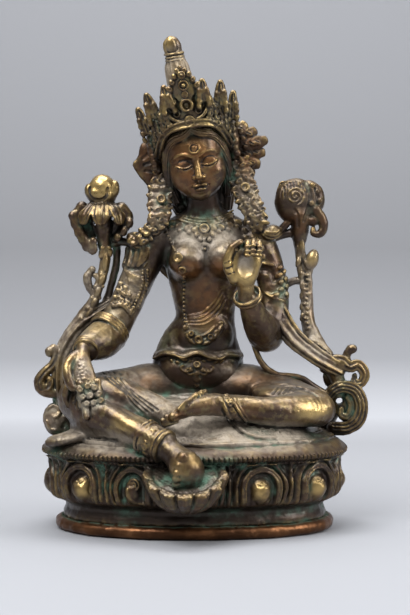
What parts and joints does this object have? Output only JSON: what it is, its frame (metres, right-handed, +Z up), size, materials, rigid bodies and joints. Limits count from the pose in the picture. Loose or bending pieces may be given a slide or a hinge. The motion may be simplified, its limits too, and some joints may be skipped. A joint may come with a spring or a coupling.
{
  "type": "tara statuette",
  "caption": "Seated tara figure in crown and jewellery with lotus sprays, cast with its oval lotus throne on a copper base plate.",
  "frame": {"origin": "middle of the oval base plate, on its underside", "axes": "+Z up; the figure faces -Y; +X towards the figure's left"},
  "size_m": [0.1484, 0.1097, 0.2132],
  "materials": {
    "patinated_brass": "dark brown patina, worn to brass on the high parts, grey dust on upper faces, green verdigris in the recesses",
    "copper": "red-brown copper sheet, rubbed bright along its rounded edge"
  },
  "bodies": {
    "root": {"tara_on_lotus_throne": "patinated_brass", "copper_base_plate": "copper"}
  },
  "joints": []
}
